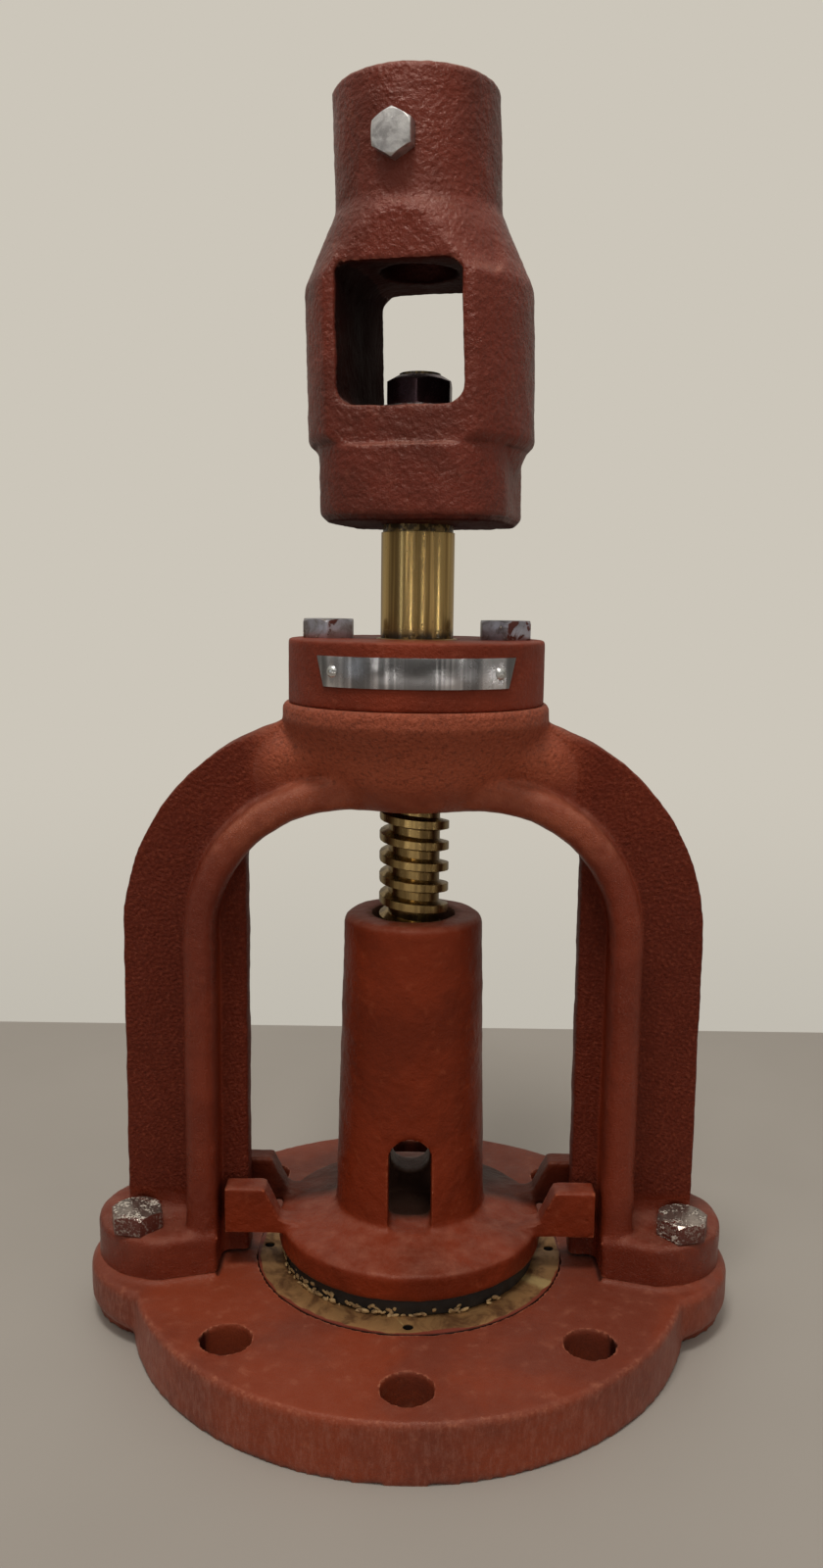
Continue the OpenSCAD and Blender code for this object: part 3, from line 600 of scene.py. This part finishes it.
def black_rubber():
    """Black rubber with a grey bloom."""
    material, make, shader, place = new_material("black rubber")
    bloom = make.noise(place, 180.0, 5.0, 0.65)
    feed(make, shader, Base_Color=make.mixed(make.span(bloom, 0.45, 0.75), RUBBER, RUBBER_BLOOM),
         Roughness=make.span(bloom, 0.3, 0.7, 0.5, 0.7), Normal=make.bump(0.3, 0.1, make.noise(place, 900.0)))
    return material


def flaking_rubber():
    """Dry, pale bits of old face rubber and sealant."""
    material, make, shader, place = new_material("flakes")
    shade = make.span(make.noise(place, 260.0, 4.0, 0.6), 0.35, 0.7)
    feed(make, shader, Base_Color=make.mixed(shade, FLAKE, FLAKE_DEEP), Roughness=0.7)
    return material


# ---------- the materials ----------

SEAT_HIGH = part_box("seat_ring")[1]
BARE_STEM = (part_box("stem_cap")[1][2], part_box("coupling")[0][2])
YOKE = dict(base=paint(120, 45, 24), deep=paint(104, 36, 18), worn=paint(158, 80, 54), rough=0.31, peel=1.0,
            peel_size=0.65, grain=0.6, depth=0.75, inner_shade=0.0, sandy_and_painted_light=True, hollow_shade=0.5, top_dust_and_light=0.75)
COUPLING = dict(base=paint(111, 43, 30), deep=paint(90, 34, 23), worn=paint(168, 100, 80), rough=0.27,
                peel=1.0, peel_size=0.9, grain=0.4, depth=0.75, inner_shade=0.9, inner_shade_reach=41 * MM, top_dust_and_light=0.8,
                edges=0.53, bore=paint(20, 7, 6), worn_lit_rim=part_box("coupling")[1][2])
BASE = dict(base=paint(130, 55, 32), deep=paint(112, 50, 34), worn=paint(190, 120, 92), rough=0.40, peel=0.5,
            grain=0.5, depth=0.4, dust=0.58, inner_shade=0.85, inner_shade_reach=104 * MM, top_dust_and_light=0.22, edges=0.525)
# The plug's bore colour is the tube's bare iron inside, used with painted shade.
PLUG = dict(base=paint(122, 45, 22), deep=paint(100, 36, 18), worn=paint(170, 92, 62), rough=0.36, peel=0.6,
            peel_size=1.3, grain=0.4, depth=0.6, inner_shade=0.95, inner_shade_reach=17.5 * MM,
            dark_rim_band=(15.5 * MM, 20.5 * MM), hollow_shade=0.95, top_dust_and_light=0.7, edges=0.535, bore=paint(98, 72, 60),
            dark_behind=(52 * MM, 70 * MM))
M = {
    "yoke": red_primer("primer on the yoke", gleam=0.4, **YOKE),
    "yoke_web": red_primer("sandy primer on the yoke's web", gleam=0.2, **YOKE),
    "coupling": red_primer("primer on the coupling", gleam=0.4, **COUPLING),
    "coupling_bore": red_primer("primer in the coupling with painted shade inside", gleam=0.04, **COUPLING),
    "base": red_primer("primer on the base", gleam=0.3, **BASE),
    "base_bore": red_primer("primer in the base with painted shade inside", gleam=0.04, **BASE),
    "cap": red_primer("primer on the cap", paint(129, 50, 29), paint(112, 42, 24), paint(164, 90, 66),
                      rough=0.44, peel=0.85, peel_size=0.8, grain=0.7, depth=0.65, hollow_shade=0.3, gleam=0.22),
    "plug": red_primer("primer on the plug", gleam=0.16, **PLUG),
    "plug_bore": red_primer("primer and bare iron in the plug with painted shade inside", gleam=0.04, **PLUG),
    "stem": bronze("bronze stem", paint(232, 198, 130), paint(184, 152, 96), paint(84, 64, 37), rough=0.14,
                   reflection_streaks=0.5, foul=BARE_STEM, scratch=0.03),
    "thread": bronze("bronze thread", paint(140, 112, 66), paint(92, 71, 41), paint(44, 33, 20), rough=0.22,
                     rings=0.7),
    "seat": bronze("bronze seat", paint(172, 130, 84), paint(98, 64, 38), paint(44, 26, 16), rough=0.42,
                   metal=0.6, painted_from=SEAT_HIGH[0] - 1.2 * MM, holes_below=SEAT_HIGH[2]),
    "bush": bronze("bronze bush", paint(176, 144, 90), paint(140, 110, 66), paint(60, 42, 28), rough=0.3),
    "foot_bolt": zinc("worn foot bolt", 0.8, 0.5, (176, 162, 152), (112, 98, 92), 0.06, 0.3),
    "cap_bolt_left": zinc("grey cap bolt", 0.4, 0.1, (196, 194, 204), (132, 122, 112), 0.04),
    "cap_bolt_right": zinc("half painted cap bolt", 0.6, 0.1, (176, 174, 184), (112, 104, 100), 0.22),
    "set_bolt": zinc("bright set bolt", 0.0, 0.0, (232, 230, 228), (170, 166, 166)),
    "plate": plain_metal("stainless plate", (232, 230, 232), 0.2, 0.2, 0.8),
    "rivet": plain_metal("stainless rivet", (214, 214, 212), 0.2),
    "dark": plain_metal("dark steel", (112, 88, 94), 0.22),
    "washer": zinc("dull washer", 0.3, 0.0, (120, 112, 108)),
    "flakes": flaking_rubber(),
    "rubber": black_rubber(),
}


# ---------- shaping ----------

def netted(piece, size):
    """Rebuilds a casting's skin as an even net of this fineness, in millimetres."""
    return worked(piece, "REMESH", mode="VOXEL", voxel_size=size * MM, use_smooth_shade=True)


def softened(piece, rounds, share=""):
    """Smooths a net so many times, all over or as a vertex group says."""
    return worked(piece, "SMOOTH", factor=0.5, iterations=rounds, vertex_group=share)


def lumps(piece, size, height):
    """Raises and sinks the surface by a soft pattern, as sand casting does."""
    pattern = bpy.data.textures.new("lumps", "CLOUDS")
    pattern.noise_scale = size * MM
    pattern.noise_depth = 2
    return worked(piece, "DISPLACE", texture=pattern, strength=height * MM, mid_level=0.5,
                  texture_coords="LOCAL")


def weighted(piece, name, weight):
    """The name of a new vertex group, whose weight is a function of the place in millimetres."""
    shares = {}
    for point in piece.data.vertices:
        share = round(weight(*(point.co / MM)), 1)
        if share > 0:
            shares.setdefault(share, []).append(point.index)
    holder = piece.vertex_groups.new(name=name)
    for share, indices in shares.items():
        holder.add(indices, share, "REPLACE")
    return holder.name


def unit_block(cuts):
    """A box from -1 to 1 along each axis, with its faces cut into a fine net."""
    bpy.ops.object.select_all(action="DESELECT")
    bpy.ops.mesh.primitive_cube_add(size=2)
    piece = bpy.context.object
    bpy.ops.object.mode_set(mode="EDIT")
    bpy.ops.mesh.select_all(action="SELECT")
    bpy.ops.mesh.subdivide(number_cuts=cuts)
    bpy.ops.object.mode_set(mode="OBJECT")
    return piece


def shift_face(piece, height, by):
    """Moves a machined face up or down, out of reach of the rounding that follows."""
    for point in piece.data.vertices:
        if abs(point.co.z - height * MM) < 0.01 * MM:
            point.co.z += by * MM


def cut_flat(piece, height, keep_above=True):
    """Cuts a piece at a height and closes it with a flat face."""
    only(piece)
    bpy.ops.object.mode_set(mode="EDIT")
    bpy.ops.mesh.select_all(action="SELECT")
    bpy.ops.mesh.bisect(plane_co=(0, 0, height * MM), plane_no=(0, 0, 1), use_fill=True,
                        clear_inner=keep_above, clear_outer=not keep_above)
    bpy.ops.object.mode_set(mode="OBJECT")
    return piece


def held(share):
    """A share held between 0 and 1."""
    return min(max(share, 0.0), 1.0)


def eased(share):
    """The same, with a soft start and a soft end."""
    share = held(share)
    return share * share * (3 - 2 * share)


def soft_max(a, b, reach):
    """The larger of two heights, with a round hollow where they meet."""
    near = max(reach - abs(a - b), 0.0) / reach
    return max(a, b) + near * near * reach / 4


# ---------- the yoke ----------

# All in millimetres. A round is the centre across, the centre's height and the radius.
WEB_HALF = 6.5                      # half the web's thickness
SHOULDER = (27.0, 160.5, 90.0)      # the web's outer round
ARCH = (26.0, 161.8, 52.0)          # the arch inside it
VALLEY = (26.0, 161.8, 64.5)        # the line where the inner flange meets the web
CROWN = VALLEY[1] + VALLEY[2]       # that line's highest point
HUB_LOW, HUB_LIP = 213.8, 247.5     # where the hub's bowl begins and where its straight lip does
BOWL_LOW, BOWL_GROWTH = 27.5, 25.2  # the bowl's radius where it begins, and what it gains up to the lip
LIP_GROWTH = 1.012                  # how much wider the lip is than the solid's
FLANK_HALF = 67                     # half the width over which the hub runs out into the arms
FLANK_LOW, FLANK_GROWTH = 15, 26    # how far the flanks swell out at the valley, and what they gain upwards
FLANK_FADE = 16                     # how far below the shoulder they begin to die away
FLANK_CURVE = 1.25                  # how quickly they thin out sideways
HOLLOW = 10                         # how far the hollow between bowl and flanks reaches


def round_top(x, form):
    """Height of an arch with round corners at a distance from the middle."""
    across, height, radius = form
    out = min(max(abs(x) - across, 0.0), radius)
    return height + math.sqrt(radius * radius - out * out)


def hub_depth(x, z):
    """How far the hub's face stands out from the yoke's middle plane."""
    bowl = BOWL_LOW + BOWL_GROWTH * held((z - HUB_LOW) / (HUB_LIP - HUB_LOW))
    round_part = math.sqrt(max(bowl * bowl - x * x, 0.0))
    valley = round_top(x, VALLEY)
    rise = held((z - valley) / (HUB_LIP - valley))
    spread = max(1 - (x / FLANK_HALF) ** 2, 0.0) ** FLANK_CURVE
    fade = eased((round_top(x, SHOULDER) - z) / FLANK_FADE)
    flank = WEB_HALF - 0.3 + (FLANK_LOW + FLANK_GROWTH * rise) * spread * fade
    return soft_max(round_part, flank, HOLLOW)


def hub_flanks():
    """The smooth swell by which the hub runs out into both arms of the yoke."""
    piece = unit_block(52)
    for point in piece.data.vertices:
        x = FLANK_HALF * point.co.x
        low = round_top(x, ARCH) + 2.5
        high = min(HUB_LIP - 0.5, round_top(x, SHOULDER) - 2.5)
        z = low + (high - low) * (point.co.z + 1) / 2
        point.co = Vector((x, point.co.y * hub_depth(x, z), z)) * MM
    return piece


def cast_yoke():
    """The yoke, with its hub blended into the arms and the inner flange rounded."""
    piece = copy_of("yoke", "yoke_casting")
    foot_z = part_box("yoke")[0][2] / MM
    hub_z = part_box("yoke")[1][2] / MM
    shift_face(piece, foot_z, -4)
    shift_face(piece, hub_z, 0.5)
    joined(piece, hub_flanks())
    netted(piece, 1.25)
    for point in piece.data.vertices:
        x, y, z = point.co / MM
        if CROWN < z < HUB_LIP + 1 and abs(x) < 62 and abs(y) > hub_depth(x, z):
            point.co.y = math.copysign(hub_depth(x, z), y) * MM
        elif HUB_LIP < z < hub_z - 0.5 and math.hypot(x, y) > 50:
            point.co.xy *= LIP_GROWTH
    softened(piece, 3)

    def hub_weight(x, y, z):
        """Full on the hub's flanks, and none at its middle, near its top or below the valley."""
        wide = eased((74 - math.hypot(x, y)) / 12) * eased((abs(x) - 4) / 12)
        return wide * eased((hub_z - 6 - z) / 4) * eased((z - round_top(x, VALLEY) - 1.5) / 5)

    def flange_weight(x, y, z):
        """Full on the inner flange's outer parts, between the feet and the valley."""
        return eased((abs(y) - 10) / 4) * eased((z - 56) / 10) * eased((round_top(x, VALLEY) + 2 - z) / 2)

    softened(piece, 50, weighted(piece, "hub blend", hub_weight))
    softened(piece, 14, weighted(piece, "flange round", flange_weight))
    lumps(piece, 14, 0.8)
    lumps(piece, 4.5, 0.35)
    cut_flat(piece, foot_z + 0.02)
    cut_flat(piece, hub_z - 0.02, keep_above=False)
    smooth(piece, 40)
    done(piece, "frame", "casting", M["yoke"], "yoke")
    return second_finish(piece, M["yoke_web"], on_web)


# ---------- the other castings ----------

LEDGE_Z, LEDGE_UP = 346, 4          # the ledge round the coupling's lower block and how far it's raised
LIP_Z, LIP_DOWN = 417, 2.8          # the lip over its window and how far it's lowered
LEAN, LEAN_Z = 0.026, 388           # how far the coupling stands askew, and the height it leans about


def casting(node, name, net, rounds, *waves):
    """A casting's skin: an even net over the CAD form, softened, with lumps of each size and height."""
    piece = softened(netted(copy_of(node, name), net), rounds)
    for size, height in waves:
        lumps(piece, size, height)
    return smooth(piece, 40)


def cast_base():
    piece = casting("base_flange", "base_flange_casting", 1.2, 2, (22, 0.35), (5, 0.12))
    done(piece, "frame", "casting", M["base"], "base_flange")
    return second_finish(piece, M["base_bore"], in_bore(BASE["inner_shade_reach"]))


def cast_cap():
    piece = casting("stem_cap", "cap_casting", 0.9, 3, (5, 0.15))
    return done(piece, "frame", "casting", M["cap"], "stem_cap")


def cast_coupling():
    """The coupling, standing a little askew on the stem."""
    piece = softened(netted(copy_of("coupling", "coupling_casting"), 0.9), 4)
    for point in piece.data.vertices:
        x, y, z = point.co / MM
        over = eased((-y - 18) / 10) * eased((31 - abs(x)) / 5) * eased(1 - abs(z - LIP_Z) / 12)
        ledge = eased((math.hypot(x, y) - 28) / 4) * eased(1 - abs(z - LEDGE_Z) / 15)
        point.co.z += (LEDGE_UP * ledge - LIP_DOWN * over) * MM
    for point in piece.data.vertices:
        point.co.x -= LEAN * (point.co.z - LEAN_Z * MM)
    softened(piece, 2)
    worked(piece, "DISPLACE", strength=0.25 * MM, mid_level=0.0)
    lumps(piece, 16, 0.9)
    lumps(piece, 6, 0.4)
    lumps(piece, 2.2, 0.3)
    smooth(piece, 40)
    done(piece, "stem", "casting", M["coupling"], "coupling")
    return second_finish(piece, M["coupling_bore"], in_bore(COUPLING["inner_shade_reach"]))


def cast_plug():
    piece = casting("plug", "plug_casting", 1.0, 3, (18, 0.7), (6, 0.4))
    done(piece, "plug", "casting", M["plug"], "plug")
    return second_finish(piece, M["plug_bore"], in_bore(PLUG["inner_shade_reach"]))


# ---------- turned pieces and crumbs ----------

def turned(node, name, body, slot, material, width=0.4, segments=2):
    """A turned or rolled piece: the CAD form with its sharp edges broken."""
    piece = copy_of(node, name)
    worked(piece, "BEVEL", width=width * MM, segments=segments, limit_method="ANGLE",
           angle_limit=math.radians(32), harden_normals=False)
    smooth(piece, 30)
    return done(piece, body, slot, material, node)


FLAKES_AT, FLAKES_SPREAD = -118, 34         # degrees round the axis, from +X


def flakes(name, body, count, out_by, up_by):
    """Pale crumbs of the rubber face, most of them at the left front.

    out_by is how far out from the seal's edge they lie and up_by how far up from the seat, both as ranges
    in millimetres.
    """
    draw = random.Random(count)
    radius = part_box("plug_seal")[1][0]
    bits = []
    for _ in range(count):
        angle = math.radians(draw.gauss(FLAKES_AT, FLAKES_SPREAD))
        out = radius + draw.uniform(*out_by) * MM
        up = SEAT_HIGH[2] + draw.uniform(*up_by) * MM
        bpy.ops.object.select_all(action="DESELECT")
        bpy.ops.mesh.primitive_cube_add(
            size=1, location=(out * math.cos(angle), out * math.sin(angle), up),
            rotation=(draw.uniform(-0.5, 0.5), draw.uniform(-0.5, 0.5), angle + draw.uniform(-0.4, 0.4)))
        bit = bpy.context.object
        bit.scale = [draw.uniform(0.7, 1.5) * MM, draw.uniform(1.2, 4.6) * MM, draw.uniform(1.0, 2.6) * MM]
        bits.append(settle(bit))
    piece = joined(*bits)
    piece.name = name
    worked(piece, "SUBSURF", levels=1)
    lumps(piece, 1.2, 0.5)
    smooth(piece, 50)
    return done(piece, body, "rubber", M["flakes"])


cast_yoke()
cast_base()
cast_cap()
cast_coupling()
cast_plug()
for side in ("left", "right"):
    turned("cap_bolt_" + side, "cap_bolt_%s_chipped" % side, "frame", "zinc_steel", M["cap_bolt_" + side])
    turned("nameplate_rivet_" + side, "plate_rivet_%s_domed" % side, "frame", "stainless", M["rivet"], 0.1)
    for row in ("front", "back"):
        bolt = "foot_bolt_%s_%s" % (row, side)
        turned(bolt, bolt + "_chipped", "frame", "zinc_steel", M["foot_bolt"])
turned("coupling_set_bolt", "set_bolt_bright", "stem", "zinc_steel", M["set_bolt"])
turned("stem_end_nut", "end_nut_dark", "stem", "dark_steel", M["dark"], 1.4, 3)
turned("stem_end_washer", "end_washer", "stem", "zinc_steel", M["washer"], 0.2)
turned("seat_ring", "seat_ring_turned", "frame", "bronze", M["seat"], 0.25)
turned("cap_bushing", "cap_bushing_turned", "frame", "bronze", M["bush"], 0.2)
turned("nameplate", "plate_bare", "frame", "stainless", M["plate"], 0.15)
turned("plug_seal", "seal_ring", "plug", "rubber", M["rubber"], 0.8, 3)
turned("plug_nut", "plug_nut_turned", "plug", "bronze", M["thread"], 0.3)
turned("stem", "stem_turned", "stem", "bronze", M["stem"], 0.15, 1)
flakes("seat_flakes", "frame", 74, (-0.2, 1.4), (0.2, 1.5))
flakes("seal_flakes", "plug", 30, (-0.4, 0.3), (1.0, 3.2))


# ---------- stage and light ----------

FLOOR_FRONT, FLOOR_BACK, FLOOR_WIDTH = 4.0, 0.339, 8
WARM, COOL = (1.0, 0.97, 0.92), (0.88, 0.94, 1.0)


def stage():
    """A plain pale floor."""
    bpy.ops.object.select_all(action="DESELECT")
    bpy.ops.mesh.primitive_plane_add(size=1, location=(0, 0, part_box("base_flange")[0][2]))
    floor = bpy.context.object
    floor.name = "floor"
    floor.scale = (FLOOR_WIDTH, FLOOR_FRONT + FLOOR_BACK, 1)
    floor.location.y = (FLOOR_BACK - FLOOR_FRONT) / 2
    settle(floor)
    material, make, shader, place = new_material("pale floor")
    tone = make.mixed(make.noise(place, 6.0, 3.0), paint(170, 163, 155), paint(158, 151, 143))
    # Painted shade: the floor gets darker towards the front.
    tone = make.mixed(make.span(make.split(place)["Y"], -0.08, -0.36), tone, paint(140, 131, 124))
    feed(make, shader, Base_Color=tone, Roughness=0.55)
    floor.data.materials.append(material)


def room():
    """The light of a plain room, and the wall that the camera sees."""
    world = bpy.data.worlds.new("studio")
    world.use_nodes = True
    bpy.context.scene.world = world
    make = Nodes(world.node_tree)
    back = world.node_tree.nodes["Background"]
    rays = make.add("ShaderNodeLightPath").outputs
    heading = make.split(make.add("ShaderNodeTexCoord").outputs["Generated"])
    light = make.mixed(make.span(heading["Y"], -0.35, 0.25), paint(96, 92, 87), paint(140, 135, 126))
    light = make.mixed(make.span(heading["Z"], 0.1, 0.8), light, paint(200, 196, 188))
    # Painted shade: the wall seen by the camera gets darker towards the bottom.
    wall = make.mixed(make.span(heading["Z"], -0.12, -0.36), paint(204, 198, 186), paint(192, 187, 176))
    feed(make, back, Color=make.mixed(rays["Is Camera Ray"], light, wall), Strength=1.0)


def lamp(name, place, target, size, watts, colour=WARM):
    """A rectangular lamp at a place, turned to a target."""
    light = bpy.data.lights.new(name, "AREA")
    light.shape = "RECTANGLE"
    light.size, light.size_y = size
    light.energy = watts
    light.color = colour
    holder = bpy.data.objects.new(name, light)
    bpy.context.scene.collection.objects.link(holder)
    holder.location = place
    holder.rotation_euler = (Vector(target) - Vector(place)).to_track_quat("-Z", "Y").to_euler()


stage()
room()
lamp("main", (-0.12, -0.42, 1.42), (0, 0, 0.2), (0.32, 0.26), 8.0)
lamp("front", (0.15, -1.3, 1.3), (0, 0, 0.2), (0.25, 0.2), 1.9)
lamp("strip left", (-0.75, -1.1, 0.75), (0, 0, 0.25), (0.012, 0.9), 0.35)
lamp("strip right", (0.85, -0.9, 0.8), (0, 0, 0.25), (0.012, 0.9), 0.35)
lamp("window", (-1.05, -0.8, 0.35), (0, 0, 0.3), (0.09, 0.6), 0.3, COOL)
for degrees, reach in ((-20, 1.25), (18, 1.25), (46, 1.2), (70, 1.15)):
    turn = math.radians(degrees)
    lamp("low strip", (reach * math.sin(turn), -reach * math.cos(turn), 0.17), (0, 0, 0.3), (0.014, 0.3), 0.2)
lamp("low bounce", (0, -0.8, 0.03), (0, 0, 0.22), (1.0, 0.2), 0.4)

bpy.context.scene.view_settings.view_transform = "Standard"
